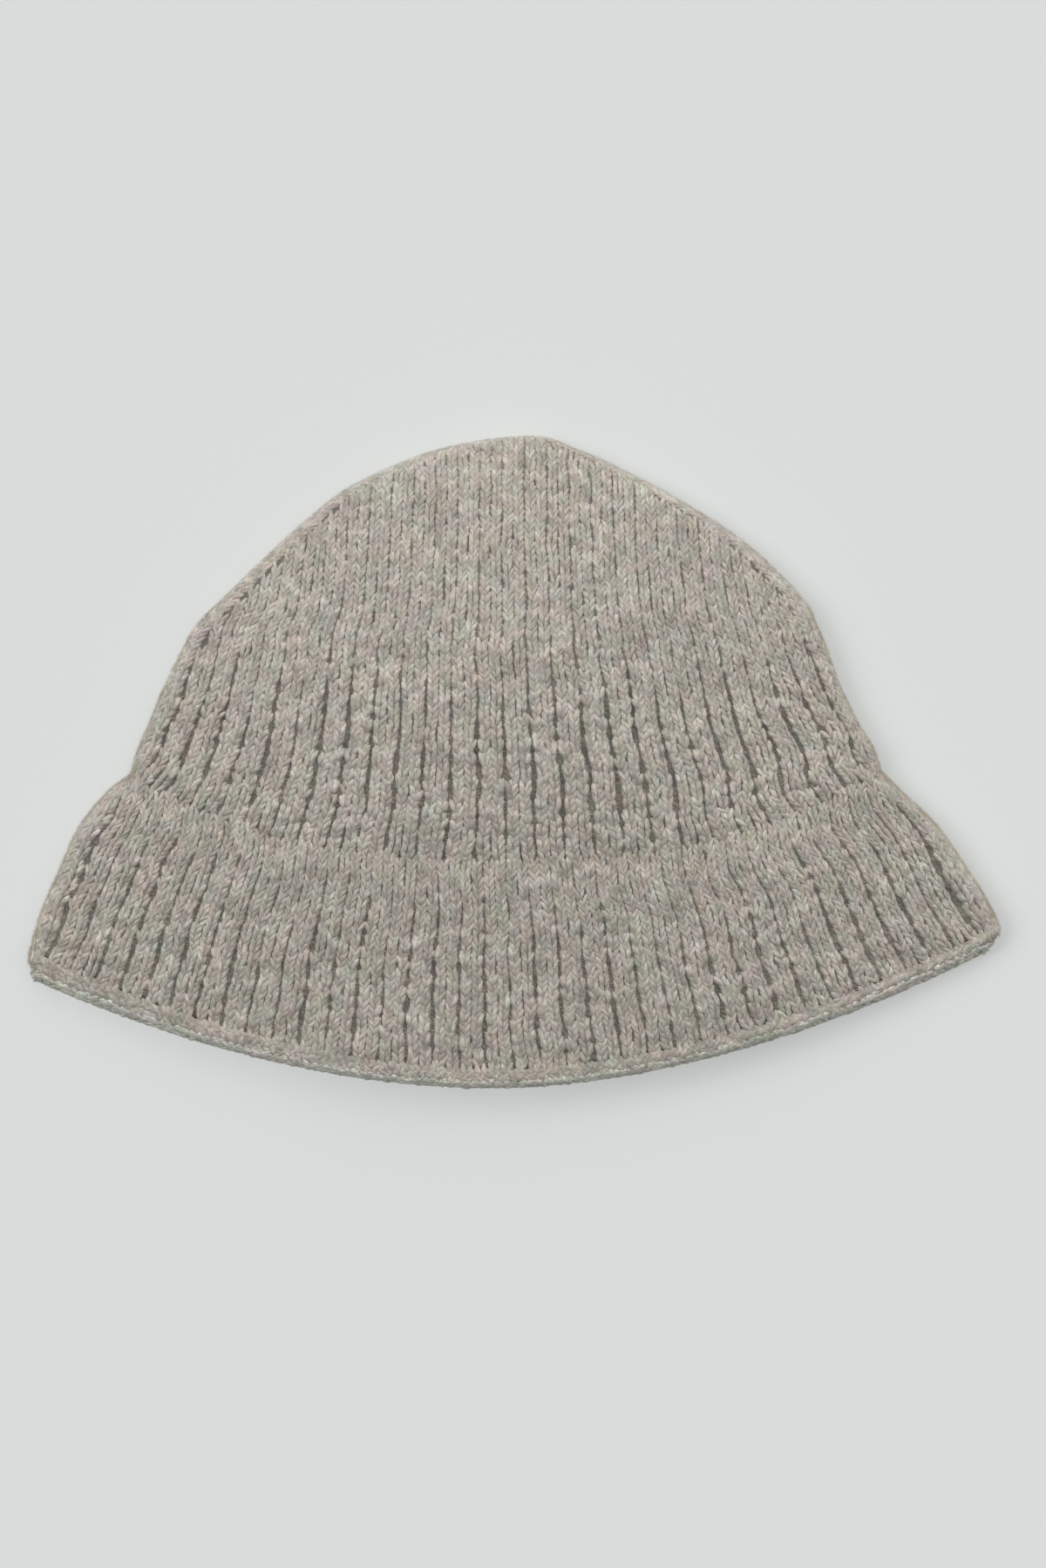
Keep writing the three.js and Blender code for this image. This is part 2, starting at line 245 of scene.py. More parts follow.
class Panel:
    """A tube of knit that lies flat, as a table of its courses."""

    def __init__(self, courses, ribs, up, knitted, pitch_fade, furrow_profile, spread, seed,
                 hem_lift=0.0, hem_sink=0.0):
        self.table = np.array(courses, float)
        self.last = len(courses) - 1
        self.ribs = ribs
        self.up = up  # 1 where the rows run up the hat, -1 where down
        self.knitted = knitted  # first and last row of the ribbed stitches
        self.pitch_fade = pitch_fade  # share by which the outermost ribs are the narrower
        self.hem_lift = hem_lift
        self.hem_sink = hem_sink
        self.furrows = {
            True: Furrows(ribs, furrow_profile, spread, seed),
            False: Furrows(ribs, furrow_profile, spread, seed + 10),
        }
        self.rib_sway = Sway(ribs + 1, *RIB_SWAY_PACE, seed + 20)

    def rows(self, place):
        """The columns at places between the table's rows, by a smooth curve."""
        row = np.clip(np.floor(place).astype(int), 0, self.last - 1)
        share = (place - row)[:, None]
        before, start, end, after = (
            self.table[np.clip(row + i, 0, self.last)] for i in (-1, 0, 1, 2))
        leave, arrive = (end - before) / 2, (after - start) / 2
        square, cube = share**2, share**3
        values = (start * (2 * cube - 3 * square + 1) + leave * (cube - 2 * square + share)
                  + end * (3 * square - 2 * cube) + arrive * (cube - square))
        return dict(zip(COURSE_COLUMNS, values.T))

    def section(self, place):
        """The rows with the turns of their folds and the lengths round them."""
        place = np.clip(place, 0, self.last)
        s = self.rows(place)
        above = self.rows(np.minimum(place + OUTLINE_STEP, self.last))
        below = self.rows(np.maximum(place - OUTLINE_STEP, 0))
        s["half"] = (s["right_x"] - s["left_x"]) / 2
        s["dip"] = s["mid_y"] - (s["left_y"] + s["right_y"]) / 2
        s["radius"] = s["fold"] / 2
        for side, sign in (("left", 1), ("right", -1)):
            along_x = above[side + "_x"] - below[side + "_x"]
            along_y = above[side + "_y"] - below[side + "_y"]
            slope = sign * s["dip"] * s["curve"] / s["half"]
            stretch = np.hypot(along_x, along_y) / np.abs(along_y - slope * along_x)
            turn = np.minimum(s["radius"] * stretch, s["half"])
            s[side + "_turn"] = turn
            s[side + "_arc"] = QUARTER * np.sqrt((turn**2 + s["radius"]**2) / 2)
        straight = 2 * s["half"] - s["left_turn"] - s["right_turn"]
        s["width"] = s["left_arc"] + straight + s["right_arc"]
        s["rib_travel"] = s["left_arc"] + s["rib_x"] - s["left_x"] - s["left_turn"]
        s["lift"] = self.hem_lift * (place / self.last) ** 2
        return s

    def surface(self, s, travel, front, inset):
        """Points of a layer, by the travel across it from its left fold and the inset below its
        rib crests. Travel past a fold runs on round it into the other layer."""
        past_left, past_right = travel < 0, travel > s["width"]
        front = np.logical_xor(front, past_left | past_right)
        travel = np.where(past_left, -travel, np.where(past_right, 2 * s["width"] - travel, travel))
        in_left = travel < s["left_arc"]
        in_right = travel > s["width"] - s["right_arc"]
        left_angle = travel / s["left_arc"] * QUARTER
        right_angle = (s["width"] - travel) / s["right_arc"] * QUARTER
        angle = np.where(in_left, left_angle, np.where(in_right, right_angle, QUARTER))
        kept = 1 - inset / s["radius"]
        left_start = s["left_turn"] - s["half"]
        left_x = left_start - s["left_turn"] * kept * np.cos(angle)
        right_x = s["half"] - s["right_turn"] + s["right_turn"] * kept * np.cos(angle)
        middle_x = left_start + travel - s["left_arc"]
        x = np.where(in_left, left_x, np.where(in_right, right_x, middle_x))
        rise = (s["radius"] - inset) * np.sin(angle)

        across = np.clip(x / s["half"], -1, 1)
        ends = s["left_y"] + (s["right_y"] - s["left_y"]) * (across + 1) / 2
        y = ends + s["dip"] * (1 - np.abs(across) ** s["curve"])
        x = (s["left_x"] + s["right_x"]) / 2 + x
        arch = (s["height"] - s["fold"]) * (1 - across**2) ** ARCH_POWER
        dent = dents_at(x, y) * (1 - np.abs(across) ** DENT_FADE)
        front_y = y + s["lift"] * np.sin(angle)
        front_points = np.stack([x, front_y, s["radius"] + rise + arch - dent], axis=-1)
        back_points = np.stack([x, y, s["radius"] - rise], axis=-1)
        return np.where(front[:, None], front_points, back_points) + CAD_SHIFT

    def sink(self, place, furrow):
        """How far the knit lies below its crests in the furrows, beside the seam and where it
        runs into the hem."""
        seam = SEAM_DEPTH * np.exp(-(place / SEAM_REACH) ** 2)
        hem = self.hem_sink * smoothstep((place - self.knitted[1]) / HEM_SINK_REACH + 1)
        return np.minimum(seam + hem + furrow, DEEPEST)

    def inner_travel(self, s, rib):
        """Travel to a place between the first and the last furrow, counted in ribs."""
        reach = self.ribs / 2 - 1
        t = (rib - self.ribs / 2) / reach
        return s["rib_travel"] + s["pitch"] * reach * (t - self.pitch_fade * t**3 / 3)

    def edge_widths(self, s):
        """Widths of the ribs beside the left and the right fold."""
        left = np.maximum(self.inner_travel(s, 1.0), s["edge"])
        right = np.maximum(s["width"] - self.inner_travel(s, self.ribs - 1.0), s["edge"])
        return left, right

    def travel(self, s, rib, part):
        """Travel to a part, 0 to 1, of a rib."""
        left, right = self.edge_widths(s)
        inner = self.inner_travel(s, rib + part)
        last = s["width"] - (1 - part) * right
        return np.where(rib == 0, part * left, np.where(rib == self.ribs - 1, last, inner))

    def is_knitted(self, s, rib, part):
        """False where an inner rib would lie beyond the edge ribs."""
        left, right = self.edge_widths(s)
        inner = self.inner_travel(s, rib + part)
        room = EDGE_ROOM * s["pitch"]
        inside = (inner > left + room) & (inner < s["width"] - right - room)
        return inside | (rib == 0) | (rib == self.ribs - 1)

    def fitted_travel(self, s, rib, part):
        """Travel as above, with the inner ribs pressed between the edge ribs where they'd lie
        beyond them."""
        left, right = self.edge_widths(s)
        first, last = (self.inner_travel(s, k) for k in (1.0, self.ribs - 1.0))
        share = (self.inner_travel(s, rib + part) - first) / (last - first)
        inner = left + share * (s["width"] - right - left)
        edges = (rib == 0) | (rib == self.ribs - 1)
        return np.where(edges, self.travel(s, rib, part), inner)


# Openness of the furrows, by rows of the tables
CROWN_FURROWS = ((0, 0.2), (0.4, 0.4), (0.8, 0.57), (1.2, 0.82), (1.7, 1.05), (2.6, 1.0),
                 (3.2, 0.6), (3.6, 0.38), (4.0, 0.3), (4.6, 0.2), (5.6, 0.18), (9, 0.15),
                 (11, 0.08), (13, 0))
BRIM_FURROWS = ((0, 0.13), (0.9, 0.18), (1.2, 0.28), (1.5, 0.4), (2.1, 0.5), (2.4, 0.6),
                (2.7, 0.74), (3.3, 0.92), (4.5, 0.95), (4.7, 0.8), (4.9, 0.5), (5.1, 0.1),
                (6, 0))
CROWN = Panel(CROWN_COURSES, CROWN_RIBS, up=1, knitted=(0.0, 12.8), pitch_fade=0.17,
              furrow_profile=CROWN_FURROWS, spread=0.3, seed=5)
BRIM = Panel(BRIM_COURSES, BRIM_RIBS, up=-1, knitted=(0.0, 5.3), pitch_fade=0.125,
             furrow_profile=BRIM_FURROWS, spread=0.12, seed=80,
             hem_lift=FRONT_HEM_LIFT, hem_sink=HEM_SINK)


class YarnSettings(bpy.types.PropertyGroup):
    """Sizes of the yarn and its stitches."""
    leg_length: FloatProperty(
        name="Leg length", description="Length of one leg of a stitch",
        default=5.3 * MM, unit="LENGTH", precision=5)
    leg_width: FloatProperty(
        name="Leg width", description="Width of the plump yarn across a leg",
        default=2.05 * MM, unit="LENGTH", precision=5)
    leg_depth: FloatProperty(
        name="Leg depth", description="Thickness of the yarn square to the knit",
        default=1.7 * MM, unit="LENGTH", precision=5)
    course_height: FloatProperty(
        name="Course height", description="Height of one course of stitches",
        default=2.25 * MM, unit="LENGTH", precision=5)
    leg_lean: FloatProperty(
        name="Leg lean", description="How far a leg leans out of its wale",
        default=math.radians(18), subtype="ANGLE")
    furrow_width: FloatProperty(
        name="Furrow width", description="Part of a rib that an open furrow takes",
        default=0.14, min=0.0, max=0.4)
    furrow_depth: FloatProperty(
        name="Furrow depth", description="Depth of an open furrow between two ribs",
        default=1.9 * MM, unit="LENGTH", precision=5)
    fibre_length: FloatProperty(
        name="Fibre length", description="Length of the loose fibres that stand off the yarn",
        default=2.8 * MM, unit="LENGTH", precision=5)
    fibre_width: FloatProperty(
        name="Fibre width", description="Thickness of a loose fibre",
        default=0.09 * MM, unit="LENGTH", precision=5)


class WoolSettings(bpy.types.PropertyGroup):
    """Colours of the melange wool."""
    light: FloatVectorProperty(
        name="Pale fibres", description="Lightest fibres of the melange",
        default=(0.763, 0.725, 0.657), subtype="COLOR", min=0, max=1)
    middle: FloatVectorProperty(
        name="Taupe fibres", description="Main colour of the melange",
        default=(0.455, 0.425, 0.375), subtype="COLOR", min=0, max=1)
    dark: FloatVectorProperty(
        name="Grey fibres", description="Darkest fibres of the melange",
        default=(0.244, 0.228, 0.197), subtype="COLOR", min=0, max=1)
    rose: FloatVectorProperty(
        name="Rose tint", description="Tint of the patches with pinkish fibres",
        default=(1.07, 0.98, 0.99), subtype="COLOR", min=0, max=2)
    olive: FloatVectorProperty(
        name="Olive tint", description="Tint of the patches with greenish fibres",
        default=(0.94, 1.01, 0.965), subtype="COLOR", min=0, max=2)
    straw: FloatVectorProperty(
        name="Straw tint", description="Tint of the patches with yellowish fibres",
        default=(1.01, 1.01, 0.96), subtype="COLOR", min=0, max=2)
    slate: FloatVectorProperty(
        name="Slate tint", description="Tint of the patches with bluish fibres",
        default=(0.99, 0.99, 1.05), subtype="COLOR", min=0, max=2)
    patch_contrast: FloatProperty(
        name="Patch contrast", description="How much lighter and darker the soft patches are",
        default=0.1, min=0, max=1)


class StageSettings(bpy.types.PropertyGroup):
    """Floor, light and camera."""
    floor: FloatVectorProperty(
        name="Floor", description="Colour of the floor",
        default=(0.789, 0.812, 0.807), subtype="COLOR", min=0, max=1)
    frame_height: FloatProperty(
        name="Frame height", description="Height of the picture where the hat lies",
        default=552.0 * MM, unit="LENGTH", precision=4)
    camera_height: FloatProperty(
        name="Camera height", description="Height of the camera above the floor",
        default=1.3, unit="LENGTH")


class HatSettings(bpy.types.PropertyGroup):
    """All that a user would change."""
    yarn: PointerProperty(type=YarnSettings)
    wool: PointerProperty(type=WoolSettings)
    stage: PointerProperty(type=StageSettings)


def deselect_all():
    bpy.ops.object.select_all(action="DESELECT")


def finish_piece(piece, name, kind):
    """Names a piece and a kind of wool and lets it ride on the hat."""
    piece.name = piece.data.name = name
    piece.data.materials.clear()
    piece.data.materials.append(bpy.data.materials.get(kind) or wool(kind, *WOOLS[kind]))
    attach(piece, "root")


# Walls

RIB_POINTS = 8  # points of a wall across a rib
WALL_INSET = 1.1  # how far a wall lies below the rib crests, under the stitches
FURROW_REACH = 0.22  # part of a rib over which its side slopes into a furrow
CROWN_END = 0.1  # rows between the last course of the crown's wall and its pole


def wrapped_grid(rows):
    """A grid primitive laid on rows of points, wrapped round and merged into one closed wall."""
    deselect_all()
    along, around, _ = rows.shape
    bpy.ops.mesh.primitive_grid_add(x_subdivisions=around, y_subdivisions=along - 1, size=1)
    wall = bpy.context.object
    wrapped = np.concatenate([rows, rows[:, :1]], axis=1) * MM
    wall.data.vertices.foreach_set("co", wrapped.reshape(-1))
    bpy.ops.object.mode_set(mode="EDIT")
    bpy.ops.mesh.select_all(action="SELECT")
    bpy.ops.mesh.remove_doubles(threshold=1e-7)
    bpy.ops.mesh.dissolve_degenerate(threshold=1e-7)
    bpy.ops.object.mode_set(mode="OBJECT")
    bpy.ops.object.shade_smooth()
    return wall


def ring(panel, place, inset, furrowed=True):
    """A ring of points round both layers at one place."""
    yarn = bpy.context.scene.hat.yarn
    around = []
    for front in (True, False):
        rib = np.repeat(np.arange(panel.ribs), RIB_POINTS)
        part = np.tile(np.arange(RIB_POINTS) / RIB_POINTS, panel.ribs)
        if not front:
            rib, part = panel.ribs - 1 - rib, 1 - part
        places = np.full(len(rib), float(place))
        s = panel.section(places)
        sunk = 0
        if furrowed:
            left = panel.furrows[front].at(rib, places)
            right = panel.furrows[front].at(rib + 1, places)
            furrow = furrow_sink(part, left, right) * yarn.furrow_depth / MM
            sunk = panel.sink(places, furrow)
        travel = panel.fitted_travel(s, rib, part)
        around.append(panel.surface(s, travel, front, inset + sunk))
    return np.concatenate(around)


def furrow_sink(part, left, right):
    """Share of the furrows' depth by which a part of a rib lies deeper than its crest."""
    on_left, on_right = (np.exp(-(far / FURROW_REACH) ** 2) for far in (part, 1 - part))
    return left * on_left + right * on_right


def pole(points):
    """A row of points that all lie in the middle of another row."""
    middle = (points.min(axis=0) + points.max(axis=0)) / 2
    middle[1] = points[:, 1].max() + TOP_ROUNDING / 2
    return np.repeat(middle[None], len(points), axis=0)


# Stitches

# Shaping of a leg: place along it as a share of its length, how wide it stays beyond that place,
# and how far it sinks there as a share of its depth
LEG_SHAPE = ((-0.5, 1.0, 0.12), (-0.35, 0.85, 0.0), (0.35, 0.9, 0.12), (0.5, 1.0, 0.26))

LEG_OFFSET = 0.46  # of a leg from the middle of its wale, as a share of the half width
LEG_FIT = (0.7, 1.3)  # least and greatest width that a leg takes in a narrow or wide wale
ALONG_STEP = 0.1  # rows each way over which a leg's direction is taken
ACROSS_STEP = 0.35

# Unevenness of hand and yarn
FIRST_STITCH_SEED = 30
COURSE_SPREAD = 0.05  # of the height of a course
WALE_START = (-0.75, -0.35)  # where a wale's count starts beside its panel's edge, in courses
WALE_END, COUNT_END = 0.1, 0.2  # courses left free at its end, by the stitches and their count
STITCH_SHIFT = 0.014  # of a stitch across, as a part of a rib
PLACE_SHIFT = 0.008  # of a leg along its wale, in rows
RIB_SWAY, WALE_SWAY = 0.035, 0.016  # how far they wander across, in parts of a rib
WALE_SWAY_PACE = (1.0, 9.0)
LEAN_SPREAD = math.radians(6)
HEIGHT_SPREAD = 0.09
SCALE_SPREAD = (0.09, 0.07, 0.07)  # of a leg's width, length and depth


def lay_along_y(size):
    """Turns a new upright primitive down along Y and gives it its size."""
    bpy.ops.object.mode_set(mode="EDIT")
    bpy.ops.mesh.select_all(action="SELECT")
    bpy.ops.transform.rotate(
        value=QUARTER, orient_axis="X", orient_type="GLOBAL", center_override=(0, 0, 0))
    bpy.ops.transform.resize(value=size, center_override=(0, 0, 0))
    bpy.ops.object.mode_set(mode="OBJECT")


def leg_template(segments, rings):
    """One leg of a stitch, a plump spindle that dips into the knit at both ends."""
    deselect_all()
    yarn = bpy.context.scene.hat.yarn
    bpy.ops.mesh.primitive_uv_sphere_add(segments=segments, ring_count=rings, radius=0.5)
    leg = bpy.context.object
    lay_along_y((yarn.leg_width, yarn.leg_length, yarn.leg_depth))
    for share, narrow, sink in LEG_SHAPE:
        shape_leg(leg, share * yarn.leg_length, narrow, sink * yarn.leg_depth)
    return leg


def shape_leg(leg, place, narrow, sink):
    """Narrows and sinks the vertices of a leg that lie beyond a place along it."""
    for vertex in leg.data.vertices:
        beyond = vertex.co.y <= place + 1e-6 if place < 0 else vertex.co.y >= place - 1e-6
        vertex.select = beyond
    for part in (*leg.data.edges, *leg.data.polygons):
        part.select = all(leg.data.vertices[i].select for i in part.vertices)
    bpy.ops.object.mode_set(mode="EDIT")
    bpy.ops.mesh.select_mode(type="VERT")
    bpy.ops.transform.resize(value=(narrow, 1, 1), center_override=(0, 0, 0))
    bpy.ops.transform.translate(value=(0, 0, -sink))
    bpy.ops.object.mode_set(mode="OBJECT")


def take_mesh(template):
    """A template's points, faces and texture coordinates as arrays, and the template removed."""
    mesh = template.data
    points = np.array([v.co for v in mesh.vertices])
    faces = [tuple(p.vertices) for p in mesh.polygons]
    spots = np.array([loop.uv for loop in mesh.uv_layers[0].data])
    bpy.data.objects.remove(template)
    bpy.data.meshes.remove(mesh)
    return points, faces, spots


def copied(name, template, frames, seed):
    """One mesh of copies of a template, each in a frame: origin, across, along, normal, scale."""
    points, faces, spots = template
    rng = np.random.default_rng(seed)
    origin, across, along, normal, scale = frames
    count, size = len(origin), len(points)
    local = points[None] * scale[:, None, :]
    placed = (origin[:, None] * MM + local[..., :1] * across[:, None]
              + local[..., 1:2] * along[:, None] + local[..., 2:] * normal[:, None])
    lengths = np.array([len(f) for f in faces])
    corners = np.concatenate([np.array(f) for f in faces])
    loops = (corners[None] + np.arange(count)[:, None] * size).reshape(-1)
    totals = np.tile(lengths, count)
    starts = np.concatenate([[0], np.cumsum(totals)[:-1]])

    mesh = bpy.data.meshes.new(name)
    mesh.vertices.add(count * size)
    mesh.vertices.foreach_set("co", placed.reshape(-1))
    mesh.loops.add(len(loops))
    mesh.loops.foreach_set("vertex_index", loops)
    mesh.polygons.add(len(totals))
    mesh.polygons.foreach_set("loop_start", starts)
    mesh.polygons.foreach_set("loop_total", totals)
    mesh.polygons.foreach_set("use_smooth", np.ones(len(totals), bool))
    shift = rng.uniform(0, 50, (count, 1, 2))
    uv = mesh.uv_layers.new(name="YarnUV")
    uv.data.foreach_set("uv", (spots[None] + shift).reshape(-1))
    shade = mesh.attributes.new("melange", "FLOAT", "POINT")
    shade.data.foreach_set("value", np.repeat(rng.uniform(0, 1, count), size))
    mesh.update()
    mesh.validate()
    piece = bpy.data.objects.new(name, mesh)
    bpy.context.collection.objects.link(piece)
    triangles = count * int((lengths - 2).sum())
    print(name, count, "copies,", triangles, "triangles")
    return piece


def wales_of(panel, with_folds):
    """The wales of a layer: rib, middle and half width as parts of the rib."""
    last = panel.ribs - 1
    wales = [(0, middle, half) for middle, half in EDGE_WALES]
    wales += [(rib, middle, half) for rib in range(1, last) for middle, half in RIB_WALES]
    wales += [(last, 1 - middle, half) for middle, half in reversed(EDGE_WALES)]
    if with_folds:
        middle, half = FOLD_WALE
        wales = [(0, middle, half), *wales, (last, 1 - middle, half)]
    return wales


def wale_stops(panel, front, wale, rng):
    """Places of a wale's stitches, a course apart along it."""
    rib, middle, _ = wale
    dense = np.linspace(*panel.knitted, 500)
    s = panel.section(dense)
    length = lengths_along(panel.surface(s, panel.travel(s, rib, middle), front, 0))
    height = bpy.context.scene.hat.yarn.course_height / MM
    count = int((length[-1] - height * COUNT_END) / height)
    spacing = height * (1 + rng.normal(0, COURSE_SPREAD, count))
    stops = height * rng.uniform(*WALE_START) + np.cumsum(spacing)
    stops = stops[(stops > 0) & (stops < length[-1] - height * WALE_END)]
    places = np.interp(stops, length, dense)
    return places[panel.is_knitted(panel.section(places), rib, middle)]


def stitch_legs(panel, front, wales, seed):
    """Frames of the two legs of every stitch of some wales of a layer."""
    yarn = bpy.context.scene.hat.yarn
    rng = np.random.default_rng(seed)
    wale_sway = Sway(2 * panel.ribs + 8, *WALE_SWAY_PACE, seed + 1)
    columns = []
    for number, wale in enumerate(wales):
        rib, middle, half = wale
        places = wale_stops(panel, front, wale, rng)
        nudge = rng.normal(0, STITCH_SHIFT, len(places))
        for side in (-1, 1):
            part = middle + side * half * LEG_OFFSET + nudge
            columns.append(np.stack(
                np.broadcast_arrays(number, rib, places, part, half, side), axis=1))
    number, rib, place, part, half, side = np.concatenate(columns).T
    number, rib = number.astype(int), rib.astype(int)
    count = len(place)
    place = place + rng.normal(0, PLACE_SHIFT, count)
    furrows = panel.furrows[front]
    squeeze = yarn.furrow_width / 2

    def spot(place, nudge=0.0):
        """Points on the stitches' ground, at places and some way across from the legs."""
        place = np.clip(place, *panel.knitted)
        s = panel.section(place)
        left, right = furrows.at(rib, place), furrows.at(rib + 1, place)
        sway = (panel.rib_sway.at(rib, place) * (1 - part) * (rib > 0)
                + panel.rib_sway.at(rib + 1, place) * part * (rib < panel.ribs - 1))
        now = squeeze * left + (1 - squeeze * (left + right)) * part
        now = now + RIB_SWAY * sway + WALE_SWAY * wale_sway.at(number, place)
        now = now + nudge / s["pitch"]
        furrow = furrow_sink(np.clip(now, 0, 1), left * (rib > 0), right * (rib < panel.ribs - 1))
        sunk = panel.sink(place, furrow * yarn.furrow_depth / MM)
        inset = yarn.leg_depth / MM * 0.5 + sunk
        return panel.surface(s, panel.travel(s, rib, now), front, inset)

    origin = spot(place)
    along = unit(spot(place + ALONG_STEP) - spot(place - ALONG_STEP)) * panel.up
    around = unit(spot(place, ACROSS_STEP) - spot(place, -ACROSS_STEP))
    outwards = 1 if front else -1
    normal = unit(np.cross(around, along)) * outwards
    across = np.cross(along, normal)
    lean = (yarn.leg_lean + rng.normal(0, LEAN_SPREAD, count)) * side * outwards
    turned_across = across * np.cos(lean)[:, None] - along * np.sin(lean)[:, None]
    along = along * np.cos(lean)[:, None] + across * np.sin(lean)[:, None]
    origin = origin + normal * rng.normal(0, HEIGHT_SPREAD, (count, 1))

    s = panel.section(place)
    wide = panel.travel(s, rib, part + half / 2) - panel.travel(s, rib, part - half / 2)
    fit = np.clip(wide / (NOMINAL_WALE / 2), *LEG_FIT)
    scale = 1 + rng.normal(0, 1, (count, 3)) * SCALE_SPREAD
    scale[:, 0] *= fit
    return origin, turned_across, along, normal, scale


# Stitches across the tip of the crown: height above the floor and lean in degrees
TIP_LEGS = ((1.2, 12), (2.5, -10), (3.8, 14), (5.0, -8))


def tip_legs():
    """Frames of the stitches drawn across the tip, where the crown is gathered."""
    height, lean = np.array(TIP_LEGS).T
    count, lean = len(height), np.radians(lean)
    end = CROWN.rows(np.full(count, float(CROWN.last)))
    middle = (end["left_x"] + end["right_x"]) / 2
    origin = np.stack([middle, end["mid_y"], height], axis=1) + CAD_SHIFT
    along = np.stack([np.cos(lean), np.zeros(count), np.sin(lean)], axis=1)
    normal = np.tile((0.0, 1.0, 0.0), (count, 1))
    return origin, np.cross(along, normal), along, normal, np.ones((count, 3))


# Loose fibres: panel, name of its piece, count and seed
FIBRES = ((CROWN, "crown", 24000, 90), (BRIM, "brim", 19000, 91))
EDGE_FIBRES, FURROW_FIBRES = 0.3, 0.3  # shares of them beside a fold and in the furrows
FOLD_SPREAD, FURROW_SPREAD = 0.35, 0.4  # how far round from these, in fold radii and millimetres
FIBRE_DEPTH, FURROW_FIBRE_DEPTHS = 0.25, (0.3, 1.3)  # of their roots below the rib crests
FIBRE_RISE, EDGE_RISE = 0.22, 0.3  # how steeply they stand off, and how much more at a fold
FIBRE_LENGTHS, FIBRE_WIDTHS = (0.5, 1.3), (0.7, 1.4)  # beside the modelled fibre
FIBRE_REACH = 0.6  # from the root to the middle of a fibre of the modelled length
CROSSING_SPREAD = 0.4  # radians by which those in a furrow lie askew of straight across it


def fibre_frames(panel, count, seed):
    """Frames of loose fibres on the front layer, more of them along its folds and furrows."""
    rng = np.random.default_rng(seed)
    lot = rng.uniform(0, 1, count)
    at_edge, in_furrow = lot < EDGE_FIBRES, lot > 1 - FURROW_FIBRES
    place = rng.uniform(*panel.knitted, count)
    s = panel.section(place)
    near = np.abs(rng.normal(0, FOLD_SPREAD, count)) * s["radius"]
    near = np.where(rng.uniform(0, 1, count) < 0.5, near, s["width"] - near)
    travel = np.where(at_edge, near, rng.uniform(0.02, 0.98, count) * s["width"])
    furrow = panel.travel(s, rng.integers(1, panel.ribs, count), 0.0)
    travel = np.where(in_furrow, furrow + rng.normal(0, FURROW_SPREAD, count), travel)
    depth = np.where(in_furrow, rng.uniform(*FURROW_FIBRE_DEPTHS, count), FIBRE_DEPTH)

    def spot(place, travel):
        return panel.surface(panel.section(place), travel, True, depth)

    origin = spot(place, travel)
    along = unit(spot(place + 0.03, travel) - spot(place - 0.03, travel)) * panel.up
    around = unit(spot(place, travel + 0.3) - spot(place, travel - 0.3))
    normal = unit(np.cross(around, along))
    side = np.cross(along, normal)
    crossing = QUARTER * rng.choice((-1, 1), count) + rng.normal(0, CROSSING_SPREAD, count)
    angle = np.where(in_furrow, crossing, rng.uniform(0, 2 * math.pi, count))[:, None]
    flat = along * np.cos(angle) + side * np.sin(angle)
    rise = np.abs(rng.normal(0, FIBRE_RISE, (count, 1)))
    rise = rise + np.where(at_edge, EDGE_RISE, 0)[:, None]
    direction = unit(flat + normal * rise)
    across = unit(np.cross(direction, normal))
    up = np.cross(across, direction)
    length = rng.uniform(*FIBRE_LENGTHS, count)
    scale = np.stack([np.ones(count), length, rng.uniform(*FIBRE_WIDTHS, count)], axis=1)
    half = direction * length[:, None] * bpy.context.scene.hat.yarn.fibre_length / MM / 2
    middle = origin + direction * length[:, None] * FIBRE_REACH
    above = (middle - np.abs(half))[:, 2] > 0
    return tuple(values[above] for values in (middle, across, direction, up, scale))


def fibre_template():
    """A loose fibre, a thin spike of which there are thousands."""
    deselect_all()
    yarn = bpy.context.scene.hat.yarn
    bpy.ops.mesh.primitive_cone_add(vertices=3, radius1=0.5, radius2=0.0, depth=1.0)
    lay_along_y((yarn.fibre_width, yarn.fibre_length, yarn.fibre_width))
    return bpy.context.object


# Materials

# Copies of the one melange wool: how light each is beside the melange, and its tone. Some copies
# stand for light and shade: the dark ones under the stitches and the hem's strokes are painted
# shade, the brim's darker copy is painted shade, the hem edge's lighter greenish copy is painted
# floor light and the loose fibres' light warm copy is a painted highlight
PLAIN = (1.0, 1.0, 1.0)
WOOLS = {
    "Crown wool": (1.03, PLAIN),
    # Painted shade: the wall under the crown's stitches is darkened to stand for the shade in the
    # gaps and furrows between them
    "Crown wool, painted shade": (0.38, PLAIN),
    # Painted shade: the brim's stitches are darker than the crown's, for the shade on the lower
    # brim
    "Brim wool": (0.985, PLAIN),
    # Painted shade: the wall under the brim's stitches, darkened in the same way
    "Brim wool, painted shade": (0.38, PLAIN),
    "Hem wool": (0.88, PLAIN),
    # Painted shade: the band under the hem's strokes is darkened to stand for the shade between
    # them
    "Hem wool, painted shade": (0.7, PLAIN),
    # Painted floor light: the strokes of the hem's free edge are lighter and greenish, for the
    # floor's light on their downward side
    "Hem edge wool, painted floor light": (1.13, (0.94, 1.0, 1.0)),
    # Painted highlight: the loose fibres are much lighter and warmer than the yarn, for the light
    # that the fuzz catches at the rims
    "Loose wool, painted highlight": (1.4, (1.06, 1.0, 0.9)),
}

# What mixes the dark, the taupe and the pale fibres: soft patches over the hat, strands along the
# yarn, and each stitch's own part
PATCH_SHARE, STRAND_SHARE, OWN_SHARE = 0.56, 0.86, 0.12
PATCH_SCALE = 230
STRAND_SCALE, STRAND_TURN = (11, 3.2, 1), 0.25
DARK_STOP, MIDDLE_STOP, LIGHT_STOP = 0.5, 0.76, 1.0

